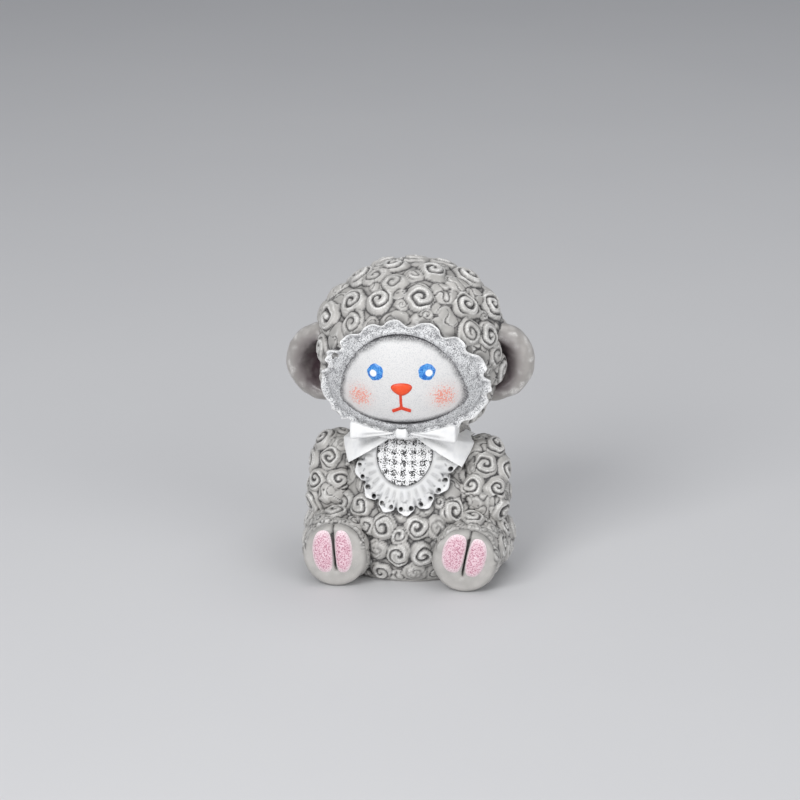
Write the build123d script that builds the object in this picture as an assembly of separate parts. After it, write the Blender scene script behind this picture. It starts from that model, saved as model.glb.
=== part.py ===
"""Seated sheep figurine, cast in pieces that are pegged and glued together.

Millimetres, +Z up, the face towards -Y. The origin is the middle of the flat base.
Left and right are the sheep's own, so its left side is at +X.
"""

import math
import os

from build123d import *

# Torso: a ball that narrows as a cone, with a flat base and a flat neck seat
TORSO_SETBACK = 1.0
TORSO_BELLY_WIDTH = 24.6
TORSO_BELLY_HEIGHT = 6.0
TORSO_NECK_WIDTH = 13.6
NECK_HEIGHT = 20.6
NECK_PEG_DIAMETER = 6.0
NECK_PEG_LENGTH = 4.0

# Legs: turned, lying forward, each with a flat cloven sole and two toe pads
HIP_WIDTH = 11.4
ANKLE_WIDTH = 8.6
LEG_LENGTH = 16.5
HIP_SPACING = 17.4
SOLE_SPACING = 18.2
SOLE_FRONT = 12.9
SOLE_WIDTH = 7.6
LEG_AXIS_HEIGHT = 4.5
FOOT_ROLL = 8.0
TOE_LENGTH = 3.2
CLEFT_WIDTH = 0.5
CLEFT_DEPTH = 0.9
PAD_WIDTH = 2.9
PAD_HEIGHT = 5.9
PAD_BULGE = 0.7
PAD_RISE = 0.6

# Arms: turned, hanging from the shoulders with the hands on the thighs
ARM_LENGTH = 12.3
ARM_WIDTH = 6.8
SHOULDER_SPACING = 19.8
HAND_SPACING = 21.8
SHOULDER_DROP = 2.2
HAND_FORWARD = 6.0
ARM_PEG_LENGTH = 5.6
ARM_PEG_PLACE = 4.2
LEG_PEG_LENGTH = 5.0
LEG_PEG_PLACE = 4.1
LIMB_PEG_DIAMETER = 2.6

# Hood: a ball cut flat at the neck, tilted a little, with a pocket for the face
HOOD_DIAMETER = 25.6
HOOD_SETBACK = 0.5
HOOD_RISE = 10.2
HEAD_TILT = 2.2
GROOVE = 0.5

# Face: a rounded cake that stands in the hood's pocket
FACE_WIDTH = 18.8
FACE_RISE = 9.2
FACE_FALL = 3.8
FACE_DROP = 3.4
FACE_SEAT = 5.0
FACE_BULGE = 0.5
FACE_ROUNDING = 1.4
FACE_PEG_DIAMETER = 5.0
FACE_PEG_LENGTH = 3.0

# Painted marks on the face
EYE_DIAMETER = 2.5
EYE_SPACING = 7.1
EYE_RISE = 4.2
NOSE_WIDTH = 3.0
NOSE_HEIGHT = 1.9
NOSE_ROUNDING = 0.45
NOSE_RISE = 1.8
MOUTH_WIDTH = 2.6
MOUTH_STEM = 1.7
MOUTH_DROOP = 0.4
MOUTH_LINE = 0.4
MARK_THICKNESS = 0.15
NOSE_THICKNESS = 0.35

# Ruffle round the face
RUFFLE_WIDTH = 1.9
RUFFLE_LOBES = 19
RUFFLE_THICKNESS = 1.2

# Ears: cupped discs on pegs
EAR_DIAMETER = 11.2
EAR_THICKNESS = 4.6
EAR_ROUNDING = 2.1
EAR_RIM = 2.2
EAR_FLOOR = 1.5
EAR_CUP_SHIFT = 0.8
EAR_REACH = 5.1
EAR_DROP = 1.6
EAR_TURN = 14.0
EAR_PEG_DIAMETER = 1.4
EAR_PEG_LENGTH = 3.0

# Bow at the throat
BOW_WIDTH = 14.8
BOW_LOOP_HEIGHT = 3.1
BOW_LOOP_DEPTH = 5.0
BOW_LOOP_DROOP = 0.7
BOW_LOOP_INSET = 0.4
BOW_LOOP_SWEEP = 0.8
BOW_PINCH_HEIGHT = 1.5
BOW_KNOT_WIDTH = 2.2
BOW_KNOT_HEIGHT = 2.1
BOW_KNOT_DEPTH = 4.0
BOW_KNOT_PROUD = 0.3
BOW_ROUNDING = 0.5
BOW_DROP = 1.6
BOW_FRONT = 10.6
TAIL_ROOT_WIDTH = 1.0
TAIL_END_WIDTH = 2.8
TAIL_SPREAD = 8.7
TAIL_FALL = 5.0
TAIL_LIFT = 2.0

# Bib under the bow
BIB_DROP = 4.0
BIB_PANEL_DIAMETER = 7.9
BIB_PANEL_THICKNESS = 0.7
LACE_DIAMETER = 13.0
LACE_THICKNESS = 1.0
LACE_TOP = 1.0
LACE_SCALLOPS = 15
LACE_SCALLOP_DEPTH = 1.1
EYELET_DIAMETER = 0.5
EYELET_INSET = -0.25

# Wool curls: domed buns with a spiral groove
CURL_DIAMETER = 4.0
TORSO_CURL_DIAMETER = 3.3
LIMB_CURL_DIAMETER = 3.2
CURL_HEIGHT = 0.75
CURL_EDGE = 0.5
CURL_GROOVE = 0.45
CURL_PITCH = 0.95
GROOVE_SPAN = 164.0
CURL_GAP = 0.1
CURL_SHOWN = 0.25
CURL_VARIATION = 0.05
CURL_TURN = 137.5
HOOD_CURL_SPAN = 130.0
ARM_CURL_ROLL = -10.0

# Curls that the picture shows, across and up as seen from its viewpoint
PICTURE_TURN = 7.5
PICTURE_TILT = 18.0
HOOD_CURLS = [
    (-11.1, 4.2), (-8.1, 6.4), (-4.4, 6.6), (1.2, 6.9), (7.4, 6.0), (10.6, 6.0), (10.4, 1.9),
    (-7.0, 10.2), (-2.4, 11.6), (2.9, 10.7), (7.6, 9.8), (-12.4, 0.2), (-11.8, -4.3), (12.2, -2.7),
]
TORSO_CURLS = [
    (-3.9, 4.8), (0.8, 4.8), (-5.4, 1.1), (-1.8, 1.0), (1.8, 0.8), (-1.8, -2.7),
    (-6.9, 7.9), (5.9, 6.9), (4.4, 3.4), (-7.4, 4.3), (-5.4, -2.6), (1.9, -2.8),
]

PEG_CLEARANCE = 0.05
FAR = 100.0
LEFT, RIGHT = 1, -1
SIDES = {LEFT: "left", RIGHT: "right"}

# Places that follow from the sizes above
hood_radius = HOOD_DIAMETER / 2
hood_centre = Vector(0, HOOD_SETBACK, NECK_HEIGHT + HOOD_RISE)
head = Pos(*hood_centre) * Rot(0, -HEAD_TILT, 0)
bow_height = hood_centre.Z - FACE_DROP - FACE_FALL - BOW_DROP
bib_height = bow_height - BIB_DROP


def ellipsoid(width, depth, height):
    """Ellipsoid of three full sizes about the origin."""
    return scale(Sphere(1), by=(width / 2, depth / 2, height / 2))


def turned(*edges):
    """Solid turned about Z from (radius, height) edges that run from axis to axis."""
    outline = Curve() + list(edges)
    section = make_face(outline + Line(outline @ 1, outline @ 0))
    return revolve(Plane.XZ * section, Axis.Z)


def below(height):
    """Half space under a height."""
    return Pos(0, 0, height - FAR / 2) * Box(FAR, FAR, FAR)


def peg(start, direction, diameter, length):
    """Round peg that starts at a point and runs along a direction."""
    pin = Cylinder(diameter / 2, length, align=(Align.CENTER, Align.CENTER, Align.MIN))
    return Plane(start, z_dir=direction).location * pin


def socket(start, direction, diameter, length):
    """Hole for a peg, with clearance round it and at its end."""
    return peg(start, direction, diameter + 2 * PEG_CLEARANCE, length + PEG_CLEARANCE)


def front_prism(outline):
    """Prism forward from the torso's axis with an outline drawn in the front view."""
    return Pos(0, TORSO_SETBACK, 0) * extrude(Plane.XZ * outline, FAR / 2)


# Torso and limbs
def torso_form(grow=0.0):
    """Ball and cone of the torso, grown all round by a thickness."""
    ball = TORSO_BELLY_WIDTH / 2 + grow
    neck = Vector(TORSO_NECK_WIDTH / 2 + grow, NECK_HEIGHT)
    rise = neck - Vector(0, TORSO_BELLY_HEIGHT)
    lean = math.degrees(math.atan2(rise.Y, rise.X) - math.acos(ball / rise.length))
    sink = -math.degrees(math.asin(TORSO_BELLY_HEIGHT / ball))
    belly = CenterArc((0, TORSO_BELLY_HEIGHT), ball, sink, lean - sink)
    base = Line((0, 0), belly @ 0)
    seat = Line(neck, (0, NECK_HEIGHT))
    return Pos(0, TORSO_SETBACK, 0) * turned(base, belly, Line(belly @ 1, neck), seat)


def leg_plane():
    """Plane on the left sole, its normal forward along the leg and its Y up the foot."""
    forward = Vector((SOLE_SPACING - HIP_SPACING) / 2, -LEG_LENGTH, 0)
    sole = Vector(SOLE_SPACING / 2, -SOLE_FRONT, LEG_AXIS_HEIGHT)
    roll = math.radians(FOOT_ROLL)
    upright = Vector(math.sin(roll), 0, math.cos(roll))
    return Plane(sole, x_dir=upright.cross(forward), z_dir=forward)


def leg_form():
    """Left leg turned about its length, rounded at the sole and hip, cut flat at the floor."""
    rounding = (ANKLE_WIDTH - SOLE_WIDTH) / 2
    ankle = CenterArc((SOLE_WIDTH / 2, -rounding), rounding, 90, -90)
    hip = CenterArc((0, HIP_WIDTH / 2 - LEG_LENGTH), HIP_WIDTH / 2, 0, -90)
    sole = Line((0, 0), ankle @ 0)
    thigh = Line(ankle @ 1, hip @ 0)
    return leg_plane().location * turned(sole, ankle, thigh, hip) - below(0)


def leg_pin():
    """Start, direction and sizes of the left leg's peg."""
    sole = leg_plane()
    return sole.origin - sole.z_dir * LEG_PEG_PLACE, -sole.z_dir, LIMB_PEG_DIAMETER, LEG_PEG_LENGTH


def cleft_form():
    """Slot between the toes of the left foot."""
    return leg_plane().location * Pos(0, PAD_RISE, 0) * Box(CLEFT_WIDTH, PAD_HEIGHT, 2 * CLEFT_DEPTH)


def pad_form(toe):
    """Half-round pad on a toe of the left foot, beside the cleft."""
    pad = ellipsoid(PAD_WIDTH, PAD_HEIGHT, 2 * PAD_BULGE) - below(0)
    return leg_plane().location * Pos(toe * (PAD_WIDTH + CLEFT_WIDTH) / 2, PAD_RISE, 0) * pad


def arm_plane():
    """Plane at the left shoulder, its normal down along the arm."""
    sideways = (HAND_SPACING - SHOULDER_SPACING) / 2
    fall = math.sqrt(ARM_LENGTH**2 - sideways**2 - HAND_FORWARD**2)
    shoulder = Vector(SHOULDER_SPACING / 2, TORSO_SETBACK, NECK_HEIGHT - SHOULDER_DROP)
    return Plane(shoulder, x_dir=(0, 1, 0), z_dir=(sideways, -HAND_FORWARD, -fall))


def arm_form():
    """Left arm turned about its length, round at both ends."""
    radius = ARM_WIDTH / 2
    shoulder = CenterArc((0, radius), radius, -90, 90)
    hand = CenterArc((0, ARM_LENGTH - radius), radius, 0, 90)
    return arm_plane().location * turned(shoulder, Line(shoulder @ 1, hand @ 0), hand)


def arm_pin():
    """Start, direction and sizes of the left arm's peg."""
    shoulder = arm_plane()
    start = shoulder.origin + shoulder.z_dir * ARM_PEG_PLACE
    return start, Vector(-1, 0, 0), LIMB_PEG_DIAMETER, ARM_PEG_LENGTH


def neck_pin():
    """Start, direction and sizes of the neck's peg."""
    return Vector(0, TORSO_SETBACK, NECK_HEIGHT), Vector(0, 0, 1), NECK_PEG_DIAMETER, NECK_PEG_LENGTH


# Head, in the head's own frame about the middle of the hood
def face_outline(grow=0.0):
    """Front view of the face: a high half ellipse over a low one."""
    half = FACE_WIDTH / 2 + grow
    upper = EllipticalCenterArc((0, 0), half, FACE_RISE + grow, 0, arc_size=180)
    lower = EllipticalCenterArc((0, 0), half, FACE_FALL + grow, 180, arc_size=180)
    return Pos(0, -FACE_DROP) * make_face(Curve() + [upper, lower])


def face_block(grow=0.0):
    """Prism of the face's outline, forward from its seat."""
    return Pos(0, -FACE_SEAT, 0) * extrude(Plane.XZ * face_outline(grow), FAR / 2)


def face_form():
    """Face with a ball-shaped front and a rounded edge."""
    cake = face_block() & Sphere(hood_radius + FACE_BULGE)
    front = cake.faces().sort_by(Axis.Y)[0]
    return fillet(front.edges(), FACE_ROUNDING) + peg(*face_pin())


def ruffle_form():
    """Frill of round lobes round the pocket, lying on the hood."""
    rim = face_outline(GROOVE).wire()
    lobes = Part()
    for number in range(RUFFLE_LOBES):
        spot = rim @ ((number + 0.5) / RUFFLE_LOBES)
        forward = math.sqrt(hood_radius**2 - spot.X**2 - spot.Y**2)
        outward = Vector(spot.X, -forward, spot.Y)
        root = outward - outward.normalized() * 2 * RUFFLE_WIDTH
        lobes += peg(root, outward, 2 * RUFFLE_WIDTH, 4 * RUFFLE_WIDTH)
    band = Sphere(hood_radius + RUFFLE_THICKNESS) - Sphere(hood_radius)
    return (band & lobes) - face_block(GROOVE)


def ear_place(side):
    """Middle of an ear, turned a little outwards."""
    middle = hood_radius + EAR_REACH - EAR_DIAMETER / 2
    return Pos(side * middle, 0, -EAR_DROP) * Rot(0, 0, side * EAR_TURN)


def ear_form(side):
    """Round ear scooped out from the front, trimmed to the hood, with its peg."""
    disc = Cylinder(EAR_DIAMETER / 2, EAR_THICKNESS)
    cushion = Rot(90, 0, 0) * fillet(disc.edges(), EAR_ROUNDING)
    mouth = EAR_DIAMETER / 2 - EAR_RIM
    depth = EAR_THICKNESS - EAR_FLOOR
    ball = (mouth**2 + depth**2) / (2 * depth)
    scoop = Pos(-side * EAR_CUP_SHIFT, EAR_THICKNESS / 2 - EAR_FLOOR - ball, 0) * Sphere(ball)
    cup = cushion - scoop
    return ear_place(side) * cup - Sphere(hood_radius) + peg(*ear_pin(side))


def ear_pin(side):
    """Start, direction and sizes of an ear's peg, in the thickness of the cup's floor."""
    start = ear_place(side) * Pos(side * EAR_RIM, (EAR_THICKNESS - EAR_FLOOR) / 2, 0)
    return start.position, Vector(-side, 0, 0), EAR_PEG_DIAMETER, EAR_PEG_LENGTH


def face_pin():
    """Start, direction and sizes of the face's peg."""
    return Vector(0, -FACE_SEAT, 0), Vector(0, 1, 0), FACE_PEG_DIAMETER, FACE_PEG_LENGTH


def face_mark(outline, thickness):
    """Film of paint with a front-view outline, lying on the face."""
    film = extrude(Plane.XZ * outline, FAR)
    radius = hood_radius + FACE_BULGE
    return film & (Sphere(radius + thickness) - Sphere(radius))


def nose_outline():
    """Rounded triangle, point down."""
    half, tall = NOSE_WIDTH / 2 - NOSE_ROUNDING, NOSE_HEIGHT / 2 - NOSE_ROUNDING
    triangle = Polygon((-half, tall), (0, -tall), (half, tall), align=None)
    return Pos(0, NOSE_RISE - FACE_DROP) * offset(triangle, NOSE_ROUNDING)


def mouth_outline():
    """Line down from the nose that parts into two short arms."""
    top = NOSE_RISE - NOSE_HEIGHT / 2 - FACE_DROP - MOUTH_LINE
    fork = top - MOUTH_STEM
    end = fork - MOUTH_DROOP
    line = trace(Line((0, top), (0, fork)), MOUTH_LINE)
    for side in SIDES:
        line += trace(Line((0, fork), (side * MOUTH_WIDTH / 2, end)), MOUTH_LINE)
    return line


# Bow and bib
def bow_loop():
    """Left loop of the bow, widening from the knot."""
    root = Plane((BOW_KNOT_WIDTH / 2, -BOW_FRONT, bow_height), x_dir=(0, 1, 0), z_dir=(1, 0, 0))
    end = root.offset((BOW_WIDTH - BOW_KNOT_WIDTH) / 2)
    pinch = Pos(BOW_LOOP_DEPTH / 2 + BOW_LOOP_INSET, 0)
    sweep = Pos(BOW_LOOP_DEPTH / 2 + BOW_LOOP_INSET + BOW_LOOP_SWEEP, -BOW_LOOP_DROOP)
    narrow = pinch * RectangleRounded(BOW_LOOP_DEPTH, BOW_PINCH_HEIGHT, BOW_ROUNDING)
    broad = sweep * RectangleRounded(BOW_LOOP_DEPTH, BOW_LOOP_HEIGHT, BOW_ROUNDING)
    return loft([root * narrow, end * broad])


def bow_knot():
    """Rounded block over the middle of the bow."""
    block = Box(BOW_KNOT_WIDTH, BOW_KNOT_DEPTH, BOW_KNOT_HEIGHT)
    setback = BOW_KNOT_DEPTH / 2 - BOW_FRONT - BOW_KNOT_PROUD
    return Pos(0, setback, bow_height) * fillet(block.edges(), BOW_ROUNDING)


def bow_tail():
    """Left tail of the bow, lying on the chest and widening to its end."""
    run = Vector(TAIL_SPREAD, -TAIL_FALL).normalized()
    across = Vector(-run.Y, run.X)
    root = Vector(0, bow_height)
    end = root + Vector(TAIL_SPREAD, -TAIL_FALL)
    corners = [
        root + across * TAIL_ROOT_WIDTH / 2,
        root - across * TAIL_ROOT_WIDTH / 2,
        end - across * TAIL_END_WIDTH / 2,
        end + across * TAIL_END_WIDTH / 2,
    ]
    outline = make_face(Polyline(*[(corner.X, corner.Y) for corner in corners], close=True))
    return front_prism(outline) & torso_form(TAIL_LIFT)


def lace_outline():
    """Round collar edged with half-round scallops."""
    points = []
    for step in range(2 * LACE_SCALLOPS):
        radius = LACE_DIAMETER / 2 + LACE_SCALLOP_DEPTH * (step % 2)
        angle = math.pi * step / LACE_SCALLOPS
        points.append((radius * math.cos(angle), radius * math.sin(angle)))
    edge = []
    for step in range(0, 2 * LACE_SCALLOPS, 2):
        edge.append(ThreePointArc(points[step], points[step + 1], points[(step + 2) % len(points)]))
    return make_face(Curve() + edge)


def eyelets():
    """Ring of holes, two in each scallop."""
    ring = LACE_DIAMETER / 2 - EYELET_INSET
    return PolarLocations(ring, 2 * LACE_SCALLOPS, 90 / LACE_SCALLOPS) * Circle(EYELET_DIAMETER / 2)


# Wool
def curl_form(diameter, bend):
    """Ball whose cap over Z = 0 is a curl for a surface of a bend radius, with its groove."""
    half = diameter / 2
    rise = CURL_HEIGHT + half**2 / (2 * bend)
    radius = (half**2 + rise**2) / (2 * rise)
    sink = radius - CURL_HEIGHT
    curl = Pos(0, 0, -sink) * Sphere(radius)
    reach, odd = half - CURL_EDGE, 0
    while reach > CURL_GROOVE:
        cutter = Plane.XZ * Pos(reach, math.sqrt(radius**2 - reach**2) - sink) * Circle(CURL_GROOVE / 2)
        start = 180 * odd + (180 - GROOVE_SPAN) / 2
        half_turn = Rot(0, 0, start) * revolve(cutter, Axis.Z, GROOVE_SPAN)
        curl -= Pos(-odd * CURL_PITCH / 2, 0, 0) * half_turn
        reach, odd = reach - CURL_PITCH / 2, 1 - odd
    return curl


def lay_curls(form, rays, diameter, bend, neighbours, floor=0.0):
    """Curls where rays leave a form, trimmed to the pieces that they run under."""
    laid, places = [], []
    sizes = [diameter * (1 + CURL_VARIATION * step) for step in (0, 1, -1)]
    curls = [curl_form(size, bend) for size in sizes]
    others = [(solid, solid.bounding_box()) for piece in neighbours for solid in piece.solids()]
    for number, (origin, direction) in enumerate(rays):
        hits = form.shells()[0].find_intersection_points(Axis(origin, direction))
        ahead = [hit for hit in hits if (hit[0] - origin).dot(direction) > 0]
        if not ahead:
            continue
        point, normal = max(ahead, key=lambda hit: (hit[0] - origin).length)
        size, whole = sizes[number % 3], curls[number % 3]
        room = size / 2 + CURL_GAP
        level = math.sqrt(max(0, 1 - normal.Z**2))
        if point.Z < floor + room * level + CURL_HEIGHT * abs(normal.Z):
            continue
        if any((point - other).length < room + reach for other, reach in places):
            continue
        near = [solid for solid, box in others if within(box, point, room)]
        if any(solid.distance_to(Vertex(point)) < CURL_SHOWN * size for solid in near):
            continue
        spot = Plane(point, z_dir=normal).location * Rot(0, 0, CURL_TURN * number)
        curl = spot * whole - form
        if curl.volume > whole.volume / 2:
            continue
        for solid in near:
            curl -= solid
        laid += [bit for bit in curl.solids() if bit.volume > CURL_HEIGHT**3]
        places.append((point, size / 2))
    return Compound(laid)


def within(box, point, room):
    """Whether a point lies in a box grown by some room."""
    low, high = box.min, box.max
    inside = [
        low.X - room < point.X < high.X + room,
        low.Y - room < point.Y < high.Y + room,
        low.Z - room < point.Z < high.Z + room,
    ]
    return all(inside)


def seen_rays(spots, about):
    """Rays towards the picture's viewpoint, from places across and up from a point."""
    turn, tilt = math.radians(PICTURE_TURN), math.radians(PICTURE_TILT)
    right = Vector(math.cos(turn), math.sin(turn), 0)
    up = Vector(-math.sin(turn) * math.sin(tilt), math.cos(turn) * math.sin(tilt), math.cos(tilt))
    return [(about + right * across + up * rise, right.cross(up)) for across, rise in spots]


def ring_rays(plane, radius, span):
    """Rays from a plane's origin in rings about its normal, spread evenly over a ball."""
    rays = []
    spacing = CURL_DIAMETER * (1 + CURL_VARIATION) + CURL_GAP
    rings = max(1, round(math.radians(span) * radius / spacing))
    for ring in range(rings + 1):
        polar = math.radians(span * ring / rings)
        count = max(1, int(2 * math.pi * radius * math.sin(polar) / spacing))
        for number in range(count):
            roll = 2 * math.pi * (number + 0.5 * (ring % 2)) / count
            outward = Vector(math.cos(roll), math.sin(roll), 0)
            local = outward * math.sin(polar) + Vector(0, 0, math.cos(polar))
            rays.append((plane.origin, plane.from_local_coords(local) - plane.origin))
    return rays


def row_rays(plane, radius, length, diameter):
    """Rays square to a plane's normal, in staggered rows along it."""
    rays = []
    spacing = diameter * (1 + CURL_VARIATION) + CURL_GAP
    rows = max(1, round(length / spacing))
    count = max(3, int(2 * math.pi * radius / spacing))
    for row in range(rows):
        origin = plane.origin + plane.z_dir * length * (row + 0.5) / rows
        for number in range(count):
            roll = 2 * math.pi * (number + 0.5 * (row % 2)) / count
            rays.append((origin, plane.x_dir * math.cos(roll) + plane.y_dir * math.sin(roll)))
    return rays


def mirrored(piece):
    """Copy of a piece on the other side of the body."""
    return mirror(piece, about=Plane.YZ)


torso = torso_form()
hood_ball = Pos(*hood_centre) * Sphere(hood_radius)
pieces = {}

# Limbs
leg = leg_form() - torso
arm = arm_form() - torso - leg
pieces["left_leg"] = leg - cleft_form() + peg(*leg_pin())
pieces["left_arm"] = arm + peg(*arm_pin())
pieces["left_inner_toe_pad"] = pad_form(-1)
pieces["left_outer_toe_pad"] = pad_form(1)
limb_sockets = socket(*leg_pin()) + socket(*arm_pin())
pieces["torso"] = torso + peg(*neck_pin()) - limb_sockets - mirrored(limb_sockets)

# Head
pockets = face_block(GROOVE) + socket(*face_pin())
for side, name in SIDES.items():
    pockets += socket(*ear_pin(side))
    pieces[f"{name}_ear"] = head * ear_form(side)
    eye = Pos(side * EYE_SPACING / 2, EYE_RISE - FACE_DROP) * Circle(EYE_DIAMETER / 2)
    pieces[f"{name}_eye"] = head * face_mark(eye, MARK_THICKNESS)
pieces["nose"] = head * face_mark(nose_outline(), NOSE_THICKNESS)
pieces["mouth"] = head * face_mark(mouth_outline(), MARK_THICKNESS)
pieces["face"] = head * face_form()
pieces["hood"] = hood_ball - head * pockets - below(NECK_HEIGHT) - socket(*neck_pin())
pieces["hood_ruffle"] = head * ruffle_form() - below(NECK_HEIGHT)

# Bib and bow
panel = Pos(0, bib_height) * Circle(BIB_PANEL_DIAMETER / 2)
collar = Pos(0, bib_height) * (lace_outline() - eyelets()) - panel
pieces["bib_panel"] = (front_prism(panel) & torso_form(BIB_PANEL_THICKNESS)) - torso
lace = (front_prism(collar) & torso_form(LACE_THICKNESS) & below(bib_height + LACE_TOP)) - torso
pieces["bib_lace"] = lace - arm - mirrored(arm)
pieces["bow_knot"] = bow_knot() - hood_ball - pieces["hood_ruffle"]
loop = bow_loop() - torso - arm
tail = bow_tail() - torso - arm - pieces["bib_panel"] - pieces["bib_lace"]
for side, name in SIDES.items():
    own_loop = loop if side == LEFT else mirrored(loop)
    own_tail = tail if side == LEFT else mirrored(tail)
    own_loop = own_loop - hood_ball - pieces["hood_ruffle"] - pieces["bow_knot"]
    pieces[f"bow_{name}_loop"] = own_loop
    pieces[f"bow_{name}_tail"] = own_tail - pieces["hood_ruffle"] - pieces["bow_knot"] - own_loop

# Wool
dressing = [piece for name, piece in pieces.items() if name.startswith(("b", "hood_r"))]
both_arms = [arm, mirrored(arm)]
both_legs = [leg, mirrored(leg)]
back = Plane(hood_centre, z_dir=(0, 1, 0))
clear = [pieces["face"], pieces["left_ear"], pieces["right_ear"], *dressing]
hood_rays = seen_rays(HOOD_CURLS, hood_centre) + ring_rays(back, hood_radius, HOOD_CURL_SPAN)
pieces["hood_curls"] = lay_curls(hood_ball, hood_rays, CURL_DIAMETER, hood_radius, clear, NECK_HEIGHT)
torso_plane = Plane((0, TORSO_SETBACK, 0), x_dir=(0, -1, 0), z_dir=(0, 0, 1))
torso_rays = seen_rays(TORSO_CURLS, Vector(0, 0, 0))
torso_rays += row_rays(torso_plane, TORSO_BELLY_WIDTH / 2, NECK_HEIGHT, TORSO_CURL_DIAMETER)
clear = [pieces["hood"], *both_arms, *both_legs, *dressing]
pieces["torso_curls"] = lay_curls(torso, torso_rays, TORSO_CURL_DIAMETER, TORSO_BELLY_WIDTH / 2, clear)
arm_rows = arm_plane().rotated((0, 0, ARM_CURL_ROLL))
arm_rays = row_rays(arm_rows, ARM_WIDTH / 2, ARM_LENGTH, LIMB_CURL_DIAMETER)
clear = [torso, leg, pieces["hood"], *dressing]
pieces["left_arm_curls"] = lay_curls(arm_form(), arm_rays, LIMB_CURL_DIAMETER, ARM_WIDTH, clear)
sole = leg_plane()
instep = Plane(sole.origin - sole.z_dir * TOE_LENGTH, x_dir=sole.y_dir, z_dir=-sole.z_dir)
leg_rays = row_rays(instep, HIP_WIDTH / 2, LEG_LENGTH - TOE_LENGTH, LIMB_CURL_DIAMETER)
clear = [torso, arm]
pieces["left_leg_curls"] = lay_curls(leg_form(), leg_rays, LIMB_CURL_DIAMETER, HIP_WIDTH, clear)

for name in list(pieces):
    if name.startswith(("left_arm", "left_leg", "left_inner", "left_outer")):
        pieces[name.replace("left", "right")] = mirrored(pieces[name])

os.makedirs("parts", exist_ok=True)
for name, piece in pieces.items():
    export_step(piece, f"parts/{name}.step")
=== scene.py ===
"""Looks of the seated sheep figurine, round its CAD frame.

Metres in the scene, millimetres while a piece is sculpted. +Z up, the face towards -Y.
"""

import math

import bmesh
import bpy
import numpy as np
from mathutils import Matrix, Vector, noise
from mathutils.bvhtree import BVHTree


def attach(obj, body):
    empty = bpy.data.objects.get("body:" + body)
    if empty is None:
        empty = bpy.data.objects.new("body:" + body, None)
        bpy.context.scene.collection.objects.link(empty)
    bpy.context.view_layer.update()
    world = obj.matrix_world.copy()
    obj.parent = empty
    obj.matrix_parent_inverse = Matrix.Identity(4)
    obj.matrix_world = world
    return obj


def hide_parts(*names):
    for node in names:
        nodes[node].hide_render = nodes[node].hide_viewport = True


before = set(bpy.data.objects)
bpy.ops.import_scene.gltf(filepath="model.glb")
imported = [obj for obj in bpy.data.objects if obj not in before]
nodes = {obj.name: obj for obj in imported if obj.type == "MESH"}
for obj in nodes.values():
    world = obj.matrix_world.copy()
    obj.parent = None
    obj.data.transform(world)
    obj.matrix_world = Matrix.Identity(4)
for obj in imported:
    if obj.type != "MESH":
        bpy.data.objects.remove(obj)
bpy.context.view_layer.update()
MM = 0.001

# Places of the frame that the looks follow
HEAD_CENTRE = np.array((0.0, 0.5, 30.8))
HEAD_TILT = math.radians(-2.2)
HOOD_RADIUS = 12.8
FACE_RADIUS = 13.3
FACE_HALF, FACE_RISE, FACE_FALL, FACE_DROP = 9.4, 9.2, 3.8, 3.4
FACE_GROOVE = 0.5
EAR_ACROSS, EAR_DROP = 12.3, 1.6
EAR_TURN = math.radians(14)
NECK_HEIGHT = 20.6
BOW_HEIGHT = 22.0
BIB_HEIGHT = 18.0
BIB_RADIUS, LACE_RADIUS = 4.0, 7.3
SCALLOPS = 15
SOLE = np.array((9.1, -12.9, 4.5))
LEG_FORWARD = np.array((0.4, -16.5, 0.0)) / math.hypot(0.4, 16.5)

# Places and sizes of the looks themselves
FEATURES_SHIFT = 0.2
EYE_ACROSS, EYE_RISE, EYE_RADIUS = 3.55, 0.75, 1.2
GLINT_ACROSS, GLINT_DROP, GLINT_RADIUS = 0.26, 0.12, 0.52
NOSE_RISE, NOSE_REACH, NOSE_HALF_HEIGHT = -1.6, 1.9, 0.95
CHEEK_ACROSS, CHEEK_RISE, CHEEK_RADIUS = 5.8, 0.4, 3.3
RUFFLE_WAVES, RUFFLE_STEPS = 15, 720
EYELET_RING = 6.75
CHECK_PITCH = 1.3
HOOD_BULGES = ((-11.9, 6.4, 1.1), (12.6, 5.0, 0.6), (9.9, 9.3, 0.6), (0.0, 13.0, -0.35))
BOW_LIFT = 0.4
MOUTH_STRETCH = 1.3
EAR_SHIFT = {1: (-0.6, 0, 0), -1: (-0.1, 0, 0)}
# How far across each ear the lining's painted shade reaches, further on the sheep's right ear.
EAR_LINING_AND_SHADE_REACH = {1: 5.0, -1: 7.5}
FOOT_ROLLS = {1: math.radians(12), -1: math.radians(3)}
PAD_GAP, PAD_TALL = 0.22, {1: 2.85, -1: 3.1}
PAD_RISE = {1: 1.05, -1: 0.8}
SOLE_BARE = 3.7
PAD_WIDTHS = {(1, -1): 3.1, (1, 1): 2.6, (-1, -1): 2.4, (-1, 1): 2.8}

# Directions and camera as the photograph shows the object
VIEW_TURN, VIEW_TILT = math.radians(7.5), math.radians(18)
SEEN_RIGHT = np.array((math.cos(VIEW_TURN), math.sin(VIEW_TURN), 0))
SEEN_FROM = np.array((math.sin(VIEW_TURN), -math.cos(VIEW_TURN), math.tan(VIEW_TILT))) * math.cos(VIEW_TILT)
SEEN_UP = np.cross(SEEN_FROM, SEEN_RIGHT)
CAMERA_LENS, CAMERA_AWAY = 141.6, 450
AIM_RIGHT, AIM_UP = -1.573, 22.45

HEAD_TURN = np.array(
    (
        (math.cos(HEAD_TILT), 0, math.sin(HEAD_TILT)),
        (0, 1, 0),
        (-math.sin(HEAD_TILT), 0, math.cos(HEAD_TILT)),
    )
)


def smooth(low, high, values):
    """Smooth step from 0 at low to 1 at high."""
    share = np.clip((values - low) / (high - low), 0, 1)
    return share * share * (3 - 2 * share)


def bell(values, width):
    """Bell curve of height 1 about zero."""
    return np.exp(-((values / width) ** 2))


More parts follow.
